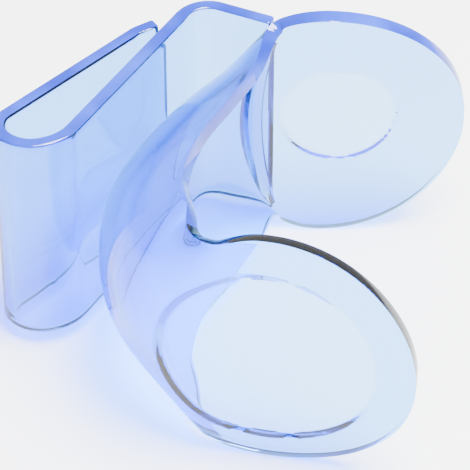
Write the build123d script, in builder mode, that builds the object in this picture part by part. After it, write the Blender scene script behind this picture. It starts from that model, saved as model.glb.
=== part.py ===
"""Squeeze pill splitter: one thin clear moulding bent into a spring clip and a pair of finger lobes.

Millimetres, +Z up. The strip stands on edge. The origin is under the middle of the object, on the
surface that the lobes stand on. The spring loop is at -X, the jaw opens to +X, the front lobe is at
-Y and the back lobe at +Y.
"""
import math
import os

from build123d import *

# driving sizes
origin_place = Vector(0.85, 0.53)  # where the origin lies among the places in plan given below
wall = 1.8  # thickness of the strip everywhere
strip_width = 33.0  # height of the strip between the lobes
lobe_radius = 18.8  # outline of both finger lobes
front_pad_radius = 14.0  # round finger recess in the front lobe
back_pad_radius = 8.0
pad_thickness = 1.0  # flat floor of each recess
front_pad_depth = 1.2  # how far the floor is set in from the outer face at the lobe's middle
back_pad_depth = 0.7
tip_gap = 0.35  # free gap between the clip tongue's tip and the inner wall
rib_half_length = 14.2  # breaking rib, from the middle to each end
rib_width = 2.4
rib_height = 1.8  # at its middle; it runs out to nothing at its ends
rib_crest = 0.5  # width of the blunt crest
sheet_margin = 1.2  # the sheet runs this far past the lobes before it is trimmed
cut_reach = 40.0  # depth of the cutting tools
front_turn = 11.0  # the front lobe's right end leans this many degrees to the front

mid_height = lobe_radius
half_strip = strip_width / 2
half_sheet = lobe_radius + sheet_margin

# places in plan, as centre lines of the strip
front_centre = Vector(4.4, -22.7)
back_centre = Vector(12.5, 24.8)
back_pad_centre = Vector(14.4, 24.8)
inner_wall_foot = Vector(-20.5, 1.2)
inner_wall_top = Vector(-6.9, 23.6)
tongue_corner = Vector(-11.9, 21.5)
loop_corners = [Vector(-29.9, 3.5), Vector(-25.7, -0.7)]
shoulder_top = Vector(-4.2, 27.8)
shoulder_end = Vector(5.6, 23.6)
tip_rise = 1.6  # the tongue's tip bends level, this far above its corner
tip_radius = 1.4
loop_radii = [2.9, 4.6, 6.0]  # the hairpin's bends, from the tongue's side on
shoulder_radius = 4.0
loop_neck = 6.8  # the hairpin bend ends this far along Y
shoulder_length = 4.6  # the shoulder begins this far short of the inner wall's top corner

# upright sections of the jaw sheet: the rims in plan, the middle of the outer face in plan, and half
# the height; from the back lobe, round the jaw, to the front lobe
jaw_sections = [
    ((33.0, 22.3), (33.0, 24.8), half_sheet),
    ((22.7, 22.3), (22.7, 24.8), half_sheet),
    ((12.5, 22.3), (12.5, 24.8), half_sheet),
    ((5.2, 22.1), (1.0, 23.6), half_strip),
    ((3.2, 14.6), (-5.2, 19.8), half_strip),
    ((0.4, 8.8), (-11.2, 12.4), half_strip),
    ((-3.6, 1.4), (-15.9, 2.8), half_strip),
    ((-5.6, -6.0), (-16.0, -7.4), half_strip),
    ((-5.0, -12.0), (-12.6, -15.0), half_strip),
    ((-1.6, -17.6), (-5.6, -20.9), half_sheet),
    ((4.95, -19.85), (4.4, -22.7), half_sheet),
    ((15.15, -21.85), (14.6, -24.7), half_sheet),
    ((25.6, -23.8), (25.0, -26.7), half_sheet),
]
back_zone = jaw_sections[0:4]
root_zone = jaw_sections[3:5]
bend_zone = jaw_sections[4:7]
arm_zone = jaw_sections[6:9]
front_zone = jaw_sections[8:13]

os.makedirs("parts", exist_ok=True)


def crescent(section):
    """One upright section of the sheet: an arc one wall thick, bowed away from the jaw."""
    (rim_x, rim_y), (middle_x, middle_y), half_height = section
    inward = Vector(rim_x - middle_x, rim_y - middle_y, 0)
    depth = inward.length
    level = inward.normalized()
    plane = Plane(
        origin=(middle_x, middle_y, mid_height), x_dir=level, z_dir=level.cross(Vector(0, 0, 1))
    )
    half_turn = 2 * math.atan2(depth, half_height)  # half the angle that the arc turns through
    inner_depth = depth + wall * math.cos(half_turn)
    inner_height = half_height - wall * math.sin(half_turn)
    with BuildSketch(plane) as outline:
        with BuildLine():
            outer = ThreePointArc((depth, -half_height), (0, 0), (depth, half_height))
            inner = ThreePointArc(
                (inner_depth, -inner_height), (wall, 0), (inner_depth, inner_height)
            )
            Line(outer @ 0, inner @ 0)
            Line(outer @ 1, inner @ 1)
        make_face()
    return outline.sketch


def sheet(sections):
    """A stretch of the jaw sheet through its upright sections."""
    with BuildPart() as piece:
        loft([crescent(section) for section in sections])
    return piece


def finish(piece, name):
    """Give a finished node its label and write its file."""
    placed = piece.part.moved(Location((-origin_place.X, -origin_place.Y, 0)))
    placed.label = name
    export_step(placed, f"parts/{name}.step")


front_plane = Plane(
    origin=(front_centre.X, front_centre.Y, mid_height),
    x_dir=(math.cos(math.radians(front_turn)), -math.sin(math.radians(front_turn)), 0),
    z_dir=(-math.sin(math.radians(front_turn)), -math.cos(math.radians(front_turn)), 0),
)
back_plane = Plane(
    origin=(back_centre.X, back_centre.Y, mid_height), x_dir=(-1, 0, 0), z_dir=(0, 1, 0)
)

back_pad_plane = Plane(
    origin=(back_pad_centre.X, back_pad_centre.Y, mid_height), x_dir=(-1, 0, 0), z_dir=(0, 1, 0)
)


def lobe_outline(plane, strip_side):
    """A round lobe that runs into the strip on one side, as a sketch on the lobe's plane."""
    with BuildSketch(plane) as outline:
        Circle(lobe_radius)
        with Locations((strip_side * lobe_radius, 0)):
            Rectangle(2 * lobe_radius, strip_width)
    return outline.sketch


def pad_outline(plane, radius):
    """The recess circle, as a sketch on the lobe's plane."""
    with BuildSketch(plane) as outline:
        Circle(radius)
    return outline.sketch


def lobe(sections, plane, strip_side, recess):
    """A lobe: the sheet trimmed to its outline, with a round opening for the recess floor."""
    with BuildPart() as piece:
        add(sheet(sections).part)
        extrude(
            lobe_outline(plane, strip_side), amount=cut_reach / 2, both=True, mode=Mode.INTERSECT
        )
        extrude(recess, amount=cut_reach / 2, both=True, mode=Mode.SUBTRACT)
    return piece


def pad_floor(plane, radius, depth):
    """The flat floor of a recess, set in from the outer face at the lobe's middle."""
    with BuildPart() as piece:
        extrude(pad_outline(plane.offset(-depth - pad_thickness), radius), amount=pad_thickness)
    return piece


back_recess = pad_outline(back_pad_plane, back_pad_radius)
front_recess = pad_outline(front_plane, front_pad_radius)
back_lobe = lobe(back_zone, back_plane, 1, back_recess)
arm_root = sheet(root_zone)
arm_bend = sheet(bend_zone)
front_arm = sheet(arm_zone)
front_lobe = lobe(front_zone, front_plane, -1, front_recess)
back_pad_floor = pad_floor(back_pad_plane, back_pad_radius, back_pad_depth)
front_pad_floor = pad_floor(front_plane, front_pad_radius, front_pad_depth)

# the breaking rib stands on the jaw side of the neck, where the back lobe and the arm meet
(neck_rim_x, neck_rim_y), (neck_x, neck_y), _ = jaw_sections[3]
neck_inward = Vector(neck_rim_x - neck_x, neck_rim_y - neck_y, 0)
neck_depth = neck_inward.length
neck_level = neck_inward.normalized()
neck_plane = Plane(
    origin=(neck_x, neck_y, mid_height), x_dir=neck_level, z_dir=neck_level.cross(Vector(0, 0, 1))
)
rib_end_depth = neck_depth * (rib_half_length / half_strip) ** 2 + wall
with BuildPart() as rib_blank:
    with BuildSketch(neck_plane):
        with BuildLine():
            rib_foot = ThreePointArc(
                (rib_end_depth - wall / 2, -rib_half_length),
                (wall / 2, 0),
                (rib_end_depth - wall / 2, rib_half_length),
            )
            rib_top = ThreePointArc(
                (rib_end_depth + rib_crest, -rib_half_length),
                (wall + rib_height, 0),
                (rib_end_depth + rib_crest, rib_half_length),
            )
            Line(rib_foot @ 0, rib_top @ 0)
            Line(rib_foot @ 1, rib_top @ 1)
        make_face()
    extrude(amount=rib_width / 2, both=True)
    crest_edges = rib_blank.edges().filter_by(GeomType.CIRCLE).sort_by(
        lambda edge: (edge @ 0.5 - neck_plane.origin).dot(neck_level)
    )[-2:]
    chamfer(crest_edges, length=(rib_width - rib_crest) / 2)
    add(back_lobe.part, mode=Mode.SUBTRACT)
    add(arm_root.part, mode=Mode.SUBTRACT)

with BuildPart() as splitting_rib:
    add(rib_blank.solids().sort_by(SortBy.VOLUME)[-1])

# the spring strip: its tongue stops a gap short of the inner wall, and its shoulder meets the sheet
wall_direction = (inner_wall_top - inner_wall_foot).normalized()
wall_side = Vector(-wall_direction.Y, wall_direction.X)
tip_level = tongue_corner.Y + tip_rise
far_face_point = inner_wall_foot + wall_side * (wall / 2 + tip_gap)
tip_run = (tip_level - wall / 2 - far_face_point.Y) / wall_direction.Y
tongue_tip = Vector((far_face_point + wall_direction * tip_run).X, tip_level)

with BuildPart() as spring_strip:
    with BuildSketch(Plane.XY.offset(mid_height - half_strip)):
        with BuildLine():
            FilletPolyline(
                tongue_tip,
                tongue_corner,
                *loop_corners,
                inner_wall_foot,
                shoulder_top,
                shoulder_end,
                radius=[tip_radius, *loop_radii, shoulder_radius],
            )
        trace(line_width=wall)
    extrude(amount=strip_width)

neck_cut = Plane.XZ.offset(-loop_neck)
shoulder_cut = Plane(
    origin=inner_wall_top - wall_direction * shoulder_length,
    x_dir=(0, 0, 1),
    z_dir=wall_direction,
)

with BuildPart() as hairpin_bend:
    add(spring_strip.part)
    split(bisect_by=neck_cut, keep=Keep.TOP)

with BuildPart() as walls:
    add(spring_strip.part)
    split(bisect_by=neck_cut, keep=Keep.BOTTOM)

with BuildPart() as clip_tongue:
    add(walls.solids().sort_by(Axis.X)[0])

with BuildPart() as inner_wall:
    add(walls.solids().sort_by(Axis.X)[-1])
    split(bisect_by=shoulder_cut, keep=Keep.BOTTOM)

with BuildPart() as shoulder_run:
    add(walls.solids().sort_by(Axis.X)[-1])
    split(bisect_by=shoulder_cut, keep=Keep.TOP)
    add(back_lobe.part, mode=Mode.SUBTRACT)
    add(arm_root.part, mode=Mode.SUBTRACT)
    add(splitting_rib.part, mode=Mode.SUBTRACT)

with BuildPart() as shoulder:
    add(shoulder_run.solids().sort_by(SortBy.VOLUME)[-1])

finish(clip_tongue, "clip_tongue")
finish(hairpin_bend, "hairpin_bend")
finish(inner_wall, "inner_wall")
finish(shoulder, "shoulder")
finish(back_lobe, "back_lobe")
finish(back_pad_floor, "back_pad_floor")
finish(splitting_rib, "splitting_rib")
finish(arm_root, "arm_root")
finish(arm_bend, "arm_bend")
finish(front_arm, "front_arm")
finish(front_lobe, "front_lobe")
finish(front_pad_floor, "front_pad_floor")
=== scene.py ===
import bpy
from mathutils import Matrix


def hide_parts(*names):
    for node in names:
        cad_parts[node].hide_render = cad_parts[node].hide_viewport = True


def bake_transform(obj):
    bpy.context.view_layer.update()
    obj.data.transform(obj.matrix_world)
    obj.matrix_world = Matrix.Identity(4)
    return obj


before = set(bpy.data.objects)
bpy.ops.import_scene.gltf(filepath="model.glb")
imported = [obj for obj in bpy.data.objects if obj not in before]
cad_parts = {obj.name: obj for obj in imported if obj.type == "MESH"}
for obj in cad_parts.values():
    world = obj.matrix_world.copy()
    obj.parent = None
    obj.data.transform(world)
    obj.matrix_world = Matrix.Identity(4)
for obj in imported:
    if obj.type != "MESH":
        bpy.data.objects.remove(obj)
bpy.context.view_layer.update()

import math

import bpy
from mathutils import Vector

# plan sizes are in millimetres, as the strip is drawn; the model itself is in metres
strip = {
    "wall": 1.8,
    "width": 33.0,
    "middle": 18.8,  # height of the parting line
    "originX": 0.85,
    "originY": 0.53,
    "rimRound": 0.42,  # radius along the strip's edges
    "rimAngle": 50,  # degrees; edges sharper than this are rounded
    "rimSegments": 3,
    "smoothAngle": 40,  # degrees; edges blunter than this are shaded smooth
    "edgeAbove": 1,  # the upper edge's faces, which get the painted deep blue glow, lie at least this far above the parting line
    "edgeEnd": -14.5,  # the painted deep blue glow of the edge stops at this place, before the front lobe
}


def deselectAll():
    if bpy.context.object and bpy.context.object.mode != "OBJECT":
        bpy.ops.object.mode_set(mode="OBJECT")
    bpy.ops.object.select_all(action="DESELECT")


def place(x, y, z):
    # plan millimetres to the frame's metres
    return Vector(((x - strip["originX"]) / 1000, (y - strip["originY"]) / 1000, z / 1000))


def smoothStep(value):
    value = min(max(value, 0.0), 1.0)
    return value * value * (3 - 2 * value)


def curveThrough(values, position):
    # a smooth curve through evenly numbered values
    index = min(max(int(position), 0), len(values) - 2)
    before = values[max(index - 1, 0)]
    here = values[index]
    after = values[index + 1]
    beyond = values[min(index + 2, len(values) - 1)]
    t = position - index
    return 0.5 * (
        2 * here
        + (after - before) * t
        + (2 * before - 5 * here + 4 * after - beyond) * t * t
        + (3 * here - before - 3 * after + beyond) * t * t * t
    )


# the finger jaw: one bowed sheet from the back lobe, round the jaw, to the front lobe
jaw = {
    "lobeRadius": 18.8,
    "frontCentre": (4.4, -22.7),
    "frontTurn": 11.0,
    "frontDish": 2.9,
    "backCentre": (12.5, 24.8),
    "backDish": 2.5,
    "sheetHalf": 20.0,
    "tipShare": 0.17,  # share of the columns that each lobe's free end takes
    "fullTurn": 86.0,  # degrees round the lobe's outline; the rest of the way is the blunt tip
    "frontSection": 9,  # the section through the front lobe's centre
    "settleReach": 14.0,  # past this the front lobe is as flat as its tip
    "lobeBlend": 1.6,  # how softly a lobe's outline runs into the strip
    "lobeNear": 4.0,  # nearer than this to a lobe's centre the outline is the lobe's own
    "lobeFar": 12.0,
    "frontRecess": 14.0,
    "backRecessX": 14.4,
    "backRecess": 8.0,
    "recessDepth": 0.45,
    "recessStep": 0.5,
    "middleX": [33.0, 12.5, 1.0, -5.2, -11.2, -15.9, -16.0, -12.6, -5.6, 4.4, 25.0],
    "middleY": [24.8, 24.8, 23.6, 19.8, 12.4, 2.8, -7.4, -15.0, -20.9, -22.7, -26.7],
    "rimX": [33.0, 12.5, 5.2, 3.2, 0.4, -3.6, -5.6, -5.0, -1.6, 4.95, 25.6],
    "rimY": [22.3, 22.3, 22.1, 14.6, 8.8, 1.4, -6.0, -12.0, -17.6, -19.85, -23.8],
    "half": [20.0, 20.0, 16.5, 16.5, 16.5, 16.5, 16.5, 16.5, 20.0, 20.0, 20.0],
    "columns": 300,
    "rows": 90,
}


def lobeEdge(reach):
    # half the height of a lobe's outline, this far from its centre
    radius = jaw["lobeRadius"]
    return math.sqrt(max(radius * radius - reach * reach, 0.0))


def jawColumn(share):
    # middle point, inward direction, depth, arc half height and outline half height of one column
    tipShare = jaw["tipShare"]
    fullTurn = math.radians(jaw["fullTurn"])
    turn = math.radians(jaw["frontTurn"])
    along = Vector((math.cos(turn), -math.sin(turn), 0))
    frontIn = Vector((math.sin(turn), math.cos(turn), 0))
    if share < tipShare:
        reach = jaw["lobeRadius"] * math.sin(fullTurn * (1 - share / tipShare))
        middle = Vector((jaw["backCentre"][0] + reach, jaw["backCentre"][1], 0))
        return middle, Vector((0, -1, 0)), jaw["backDish"], jaw["sheetHalf"], lobeEdge(reach)
    if share > 1 - tipShare:
        reach = jaw["lobeRadius"] * math.sin(fullTurn * (1 - (1 - share) / tipShare))
        middle = Vector((*jaw["frontCentre"], 0)) + along * reach
        centre = jaw["frontSection"]
        atCentre = Vector((
            jaw["rimX"][centre] - jaw["middleX"][centre],
            jaw["rimY"][centre] - jaw["middleY"][centre],
            0,
        ))
        settle = smoothStep(reach / jaw["settleReach"])
        inward = atCentre.normalized().lerp(frontIn, settle).normalized()
        depth = atCentre.length + (jaw["frontDish"] - atCentre.length) * settle
        return middle, inward, depth, jaw["sheetHalf"], lobeEdge(reach)
    position = 1 + 8 * (share - tipShare) / (1 - 2 * tipShare)
    middleX = curveThrough(jaw["middleX"], position)
    middleY = curveThrough(jaw["middleY"], position)
    middle = Vector((middleX, middleY, 0))
    rim = Vector((curveThrough(jaw["rimX"], position), curveThrough(jaw["rimY"], position), 0))
    inward = rim - middle
    arcHalf = curveThrough(jaw["half"], position)
    backReach = (middle - Vector((*jaw["backCentre"], 0))).length
    frontReach = (middle - Vector((*jaw["frontCentre"], 0))).length
    lobe = max(lobeEdge(backReach), lobeEdge(frontReach))
    side = strip["width"] / 2
    blend = jaw["lobeBlend"]
    edge = side + blend * math.log(1 + math.exp((lobe - side) / blend)) if lobe > 0 else side
    nearest = min(backReach, frontReach)
    nearLobe = smoothStep((jaw["lobeFar"] - nearest) / (jaw["lobeFar"] - jaw["lobeNear"]))
    edge = edge + (lobe - edge) * nearLobe
    return middle, inward.normalized(), inward.length, arcHalf, edge


def recessDrop(x, y, z):
    # how far the outer face is set in, in millimetres, at a point of the lobes
    turn = math.radians(jaw["frontTurn"])
    fromX = x - jaw["frontCentre"][0]
    fromY = y - jaw["frontCentre"][1]
    sideways = fromX * math.cos(turn) - fromY * math.sin(turn)
    fromFront = math.hypot(sideways, z) if y < -8 else 99
    fromBack = math.hypot(x - jaw["backRecessX"], z) if y > 15 else 99
    front = smoothStep((jaw["frontRecess"] - fromFront) / jaw["recessStep"])
    back = smoothStep((jaw["backRecess"] - fromBack) / jaw["recessStep"])
    return jaw["recessDepth"] * max(front, back)


def jawPoint(share, up):
    # a point of the jaw's outer face; up runs from -1 at the lower rim to 1 at the upper rim
    middle, inward, depth, arcHalf, edge = jawColumn(share)
    z = edge * up
    radius = (arcHalf * arcHalf + depth * depth) / (2 * depth)
    bow = radius - math.sqrt(max(radius * radius - z * z, 0))
    return middle + inward * bow, inward, z


def makeJawSheet():
    deselectAll()
    bpy.ops.mesh.primitive_grid_add(
        x_subdivisions=jaw["columns"], y_subdivisions=jaw["rows"], size=2, location=(0, 0, 0)
    )
    sheet = bpy.context.object
    sheet.name = "jaw_sheet"
    inwards = []
    for vertex in sheet.data.vertices:
        point, inward, z = jawPoint((vertex.co.x + 1) / 2, vertex.co.y)
        drop = recessDrop(point.x, point.y, z)
        inwards.append(inward * drop / 1000)
        vertex.co = place(point.x, point.y, strip["middle"] + z)
    outerCount = len(sheet.data.vertices)
    solid = sheet.modifiers.new("wall", "SOLIDIFY")
    solid.thickness = strip["wall"] / 1000
    solid.offset = -1
    bpy.ops.object.modifier_apply(modifier=solid.name)
    for index in range(outerCount):
        sheet.data.vertices[index].co += inwards[index]
    markUpperEdge(sheet, outerCount)
    roundRims(sheet)
    return sheet


def markUpperEdge(piece, outerCount):
    # give the strip's upper edge the second material, the painted deep blue glow, as far as the
    # front lobe
    lowest = place(0, 0, strip["middle"] + strip["edgeAbove"]).z
    nearest = place(0, strip["edgeEnd"], 0).y
    for face in piece.data.polygons:
        outer = [index < outerCount for index in face.vertices]
        if any(outer) and not all(outer) and face.center.z > lowest and face.center.y > nearest:
            face.material_index = 1


def roundRims(piece):
    rims = piece.modifiers.new("rims", "BEVEL")
    rims.limit_method = "ANGLE"
    rims.angle_limit = math.radians(strip["rimAngle"])
    rims.width = strip["rimRound"] / 1000
    rims.segments = strip["rimSegments"]
    rims.use_clamp_overlap = True
    deselectAll()
    piece.select_set(True)
    bpy.context.view_layer.objects.active = piece
    bpy.ops.object.modifier_apply(modifier=rims.name)
    bpy.ops.object.mode_set(mode="EDIT")
    bpy.ops.mesh.select_all(action="SELECT")
    bpy.ops.mesh.normals_make_consistent(inside=False)
    bpy.ops.object.mode_set(mode="OBJECT")
    bpy.ops.object.shade_smooth_by_angle(angle=math.radians(strip["smoothAngle"]))


# the spring clip: one strip on edge, from the tongue's tip, round the hairpin, to the jaw
clip = {
    "corners": [
        (-9.35, 23.1),
        (-11.9, 21.5),
        (-29.9, 3.5),
        (-25.7, -0.7),
        (-20.5, 1.2),
        (-4.2, 27.8),
        (5.7, 23.55),
    ],
    "radii": [3.0, 2.9, 4.6, 6.0, 4.0],
    "arcSteps": 14,
    "rows": 24,
    "stretch": 1.2,  # longest cell along a straight run
}


def clipLine():
    # the strip's centre line in plan, its straight runs joined by arcs
    corners = [Vector(corner) for corner in clip["corners"]]
    points = [corners[0]]
    for before, corner, after, radius in zip(corners, corners[1:], corners[2:], clip["radii"]):
        toBefore = (before - corner).normalized()
        toAfter = (after - corner).normalized()
        half = toBefore.angle(toAfter) / 2
        reach = radius / math.tan(half)
        centre = corner + (toBefore + toAfter).normalized() * (radius / math.sin(half))
        first = corner + toBefore * reach - centre
        last = corner + toAfter * reach - centre
        sweep = first.angle_signed(last)
        for step in range(clip["arcSteps"] + 1):
            turn = -sweep * step / clip["arcSteps"]
            points.append(
                centre + Vector((
                    first.x * math.cos(turn) - first.y * math.sin(turn),
                    first.x * math.sin(turn) + first.y * math.cos(turn),
                ))
            )
    points.append(corners[-1])
    filled = [points[0]]
    for point in points[1:]:
        run = point - filled[-1]
        parts = max(int(run.length / clip["stretch"]), 1)
        start = filled[-1].copy()
        for part in range(1, parts + 1):
            filled.append(start + run * part / parts)
    return filled


def makeSpringClip():
    line = clipLine()
    deselectAll()
    bpy.ops.mesh.primitive_grid_add(
        x_subdivisions=len(line) - 1, y_subdivisions=clip["rows"], size=2, location=(0, 0, 0)
    )
    sheet = bpy.context.object
    sheet.name = "spring_clip"
    for vertex in sheet.data.vertices:
        point = line[round((vertex.co.x + 1) / 2 * (len(line) - 1))]
        vertex.co = place(point.x, point.y, strip["middle"] + vertex.co.y * strip["width"] / 2)
    solid = sheet.modifiers.new("wall", "SOLIDIFY")
    solid.thickness = strip["wall"] / 1000
    solid.offset = 0
    bpy.ops.object.modifier_apply(modifier=solid.name)
    markUpperEdge(sheet, len(sheet.data.vertices) // 2)
    roundRims(sheet)
    return sheet


# clear blue plastic
plastic = {
    "tint": (0.95, 0.98, 1.0, 1),
    # painted light: the deep blue glow of light piped along the sheet to its upper edge, not the
    # plastic's own colour
    "paintedGlowDeep": (0.004, 0.02, 0.34, 1),
    # painted highlight: the lighter blue of glints streaked along the glowing upper edge
    "paintedGlintColour": (0.02, 0.06, 0.55, 1),
    "edgeClear": 0.05,
    "paintedGlintScale": 130,
    "paintedGlintFrom": 0.38,
    "paintedGlintTo": 0.72,
    "absorbColour": (0.10, 0.60, 0.96, 1),
    "absorbDensity": 800.0,
    "shadowTint": (0.70, 0.84, 0.97, 1),
    "ior": 1.5,
    "bumpStrength": 0.35,
    "flowDetail": 2,
    "hazeScale": 900,
    "hazeDetail": 4,
    "hazeFrom": 0.45,
    "hazeTo": 0.75,
    "polish": 0.012,  # roughness where there is no haze
}

# scale of the flow marks, roughness of the haze, height of the flow marks in metres
finishes = {
    "sheet": (60, 0.05, 0.0002),
    "edge": (200, 0.12, 0.0001),
    "rib": (180, 0.10, 0.0001),
}


def addNode(tree, kind, **values):
    node = tree.nodes.new(kind)
    for name, value in values.items():
        setattr(node, name, value)
    return node


def makeFlowGroup():
    # faint flow marks and handling haze of a moulded surface, as a roughness and a height
    group = bpy.data.node_groups.new("mouldedSurface", "ShaderNodeTree")
    group.interface.new_socket("Flow Scale", in_out="INPUT", socket_type="NodeSocketFloat")
    group.interface.new_socket("Haze", in_out="INPUT", socket_type="NodeSocketFloat")
    group.interface.new_socket("Roughness", in_out="OUTPUT", socket_type="NodeSocketFloat")
    group.interface.new_socket("Height", in_out="OUTPUT", socket_type="NodeSocketFloat")
    start = addNode(group, "NodeGroupInput")
    end = addNode(group, "NodeGroupOutput")
    where = addNode(group, "ShaderNodeTexCoord")
    flow = addNode(group, "ShaderNodeTexNoise")
    flow.inputs["Detail"].default_value = plastic["flowDetail"]
    haze = addNode(group, "ShaderNodeTexNoise")
    haze.inputs["Scale"].default_value = plastic["hazeScale"]
    haze.inputs["Detail"].default_value = plastic["hazeDetail"]
    ramp = addNode(group, "ShaderNodeMapRange")
    ramp.inputs["From Min"].default_value = plastic["hazeFrom"]
    ramp.inputs["From Max"].default_value = plastic["hazeTo"]
    ramp.inputs["To Min"].default_value = plastic["polish"]
    group.links.new(start.outputs["Flow Scale"], flow.inputs["Scale"])
    group.links.new(where.outputs["Object"], flow.inputs["Vector"])
    group.links.new(where.outputs["Object"], haze.inputs["Vector"])
    group.links.new(haze.outputs["Fac"], ramp.inputs["Value"])
    group.links.new(start.outputs["Haze"], ramp.inputs["To Max"])
    group.links.new(ramp.outputs["Result"], end.inputs["Roughness"])
    group.links.new(flow.outputs["Fac"], end.inputs["Height"])
    return group


def makePlastic(name, surface, flowScale, haze, bumpHeight):
    material = bpy.data.materials.new(name)
    material.use_nodes = True
    tree = material.node_tree
    tree.nodes.clear()
    output = addNode(tree, "ShaderNodeOutputMaterial")
    shader = addNode(tree, "ShaderNodeBsdfPrincipled")
    shader.inputs["Base Color"].default_value = plastic["tint"]
    shader.inputs["IOR"].default_value = plastic["ior"]
    shader.inputs["Transmission Weight"].default_value = 1
    marks = addNode(tree, "ShaderNodeGroup", node_tree=surface)
    marks.inputs["Flow Scale"].default_value = flowScale
    marks.inputs["Haze"].default_value = haze
    bump = addNode(tree, "ShaderNodeBump")
    bump.inputs["Strength"].default_value = plastic["bumpStrength"]
    bump.inputs["Distance"].default_value = bumpHeight
    absorb = addNode(tree, "ShaderNodeVolumeAbsorption")
    absorb.inputs["Color"].default_value = plastic["absorbColour"]
    absorb.inputs["Density"].default_value = plastic["absorbDensity"]
    shadow = addNode(tree, "ShaderNodeBsdfTransparent")
    shadow.inputs["Color"].default_value = plastic["shadowTint"]
    path = addNode(tree, "ShaderNodeLightPath")
    mix = addNode(tree, "ShaderNodeMixShader")
    tree.links.new(marks.outputs["Roughness"], shader.inputs["Roughness"])
    tree.links.new(marks.outputs["Height"], bump.inputs["Height"])
    tree.links.new(bump.outputs["Normal"], shader.inputs["Normal"])
    tree.links.new(path.outputs["Is Shadow Ray"], mix.inputs[0])
    tree.links.new(shader.outputs["BSDF"], mix.inputs[1])
    tree.links.new(shadow.outputs["BSDF"], mix.inputs[2])
    tree.links.new(mix.outputs["Shader"], output.inputs["Surface"])
    tree.links.new(absorb.outputs["Volume"], output.inputs["Volume"])
    return material


def makePaintedGlowEdge(name, surface):
    # the upper edge, where the deep blue of light caught in the sheet and coming out there is
    # painted into its colour, with painted lighter glints
    material = makePlastic(name, surface, *finishes["edge"])
    tree = material.node_tree
    shader = next(node for node in tree.nodes if node.type == "BSDF_PRINCIPLED")
    shader.inputs["Transmission Weight"].default_value = plastic["edgeClear"]
    ramp = addNode(tree, "ShaderNodeValToRGB")
    ramp.color_ramp.elements[0].position = plastic["paintedGlintFrom"]
    ramp.color_ramp.elements[0].color = plastic["paintedGlowDeep"]
    ramp.color_ramp.elements[1].position = plastic["paintedGlintTo"]
    ramp.color_ramp.elements[1].color = plastic["paintedGlintColour"]
    # painted glints: noise streaks the edge between the painted deep blue glow and the painted
    # lighter glint colour
    paintedGlintNoise = addNode(tree, "ShaderNodeTexNoise")
    paintedGlintNoise.inputs["Scale"].default_value = plastic["paintedGlintScale"]
    where = addNode(tree, "ShaderNodeTexCoord")
    tree.links.new(where.outputs["Object"], paintedGlintNoise.inputs["Vector"])
    tree.links.new(paintedGlintNoise.outputs["Fac"], ramp.inputs["Fac"])
    tree.links.new(ramp.outputs["Color"], shader.inputs["Base Color"])
    return material


def makePlain(name, colour, roughness):
    material = bpy.data.materials.new(name)
    material.use_nodes = True
    shader = material.node_tree.nodes["Principled BSDF"]
    shader.inputs["Base Color"].default_value = colour
    shader.inputs["Roughness"].default_value = roughness
    return material


# camera, light and floor
studio = {
    "elevation": 44.0,
    "distance": 0.40,
    "lens": 240.0,
    "sensor": 36,
    "nearest": 0.01,
    "target": (0.0, 0.0, 0.0188),
    "skyColour": (1, 1, 1, 1),
    "skyStrength": 1.2,
    "lampPlace": (0.12, -0.05, 0.45),
    "lampPower": 14.0,
    "lampSize": 0.25,
    "floorSize": 3,
    "floorColour": (0.93, 0.94, 0.95, 1),
    "floorRoughness": 0.9,
}


def makeStudio():
    rise = math.radians(studio["elevation"])
    target = Vector(studio["target"])
    away = Vector((0, -math.cos(rise), math.sin(rise)))
    bpy.ops.object.camera_add(location=target + away * studio["distance"])
    camera = bpy.context.object
    camera.rotation_euler = (-away).to_track_quat("-Z", "Y").to_euler()
    camera.data.lens = studio["lens"]
    camera.data.sensor_width = studio["sensor"]
    camera.data.clip_start = studio["nearest"]
    bpy.context.scene.camera = camera
    world = bpy.data.worlds.new("studio")
    world.use_nodes = True
    background = world.node_tree.nodes["Background"]
    background.inputs["Color"].default_value = studio["skyColour"]
    background.inputs["Strength"].default_value = studio["skyStrength"]
    bpy.context.scene.world = world
    bpy.ops.object.light_add(type="AREA", location=studio["lampPlace"])
    lamp = bpy.context.object
    lamp.data.energy = studio["lampPower"]
    lamp.data.size = studio["lampSize"]
    lamp.rotation_euler = (-lamp.location).to_track_quat("-Z", "Y").to_euler()
    bpy.ops.mesh.primitive_plane_add(size=studio["floorSize"], location=(0, 0, 0))
    floor = bpy.context.object
    floor.name = "floor"
    paint = makePlain("paleFloor", studio["floorColour"], studio["floorRoughness"])
    floor.data.materials.append(paint)


makeStudio()
print("camera, light and floor are set")

surface = makeFlowGroup()
sheetPlastic = makePlastic("clearBlueSheet", surface, *finishes["sheet"])
# upper edge material with the painted deep blue glow and painted glints
paintedGlowEdgePlastic = makePaintedGlowEdge("clearBluePaintedGlowEdge", surface)
ribPlastic = makePlastic("clearBlueRib", surface, *finishes["rib"])

springClip = makeSpringClip()
springClip.data.materials.append(sheetPlastic)
springClip.data.materials.append(paintedGlowEdgePlastic)
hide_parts("clip_tongue", "hairpin_bend", "inner_wall", "shoulder")
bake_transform(springClip)
print("spring clip is made")

jawSheet = makeJawSheet()
jawSheet.data.materials.append(sheetPlastic)
jawSheet.data.materials.append(paintedGlowEdgePlastic)
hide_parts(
    "back_lobe",
    "back_pad_floor",
    "arm_root",
    "arm_bend",
    "front_arm",
    "front_lobe",
    "front_pad_floor",
)
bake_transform(jawSheet)
print("jaw sheet is made")

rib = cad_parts["splitting_rib"]
rib.data.materials.clear()
rib.data.materials.append(ribPlastic)
print("splitting rib is finished")
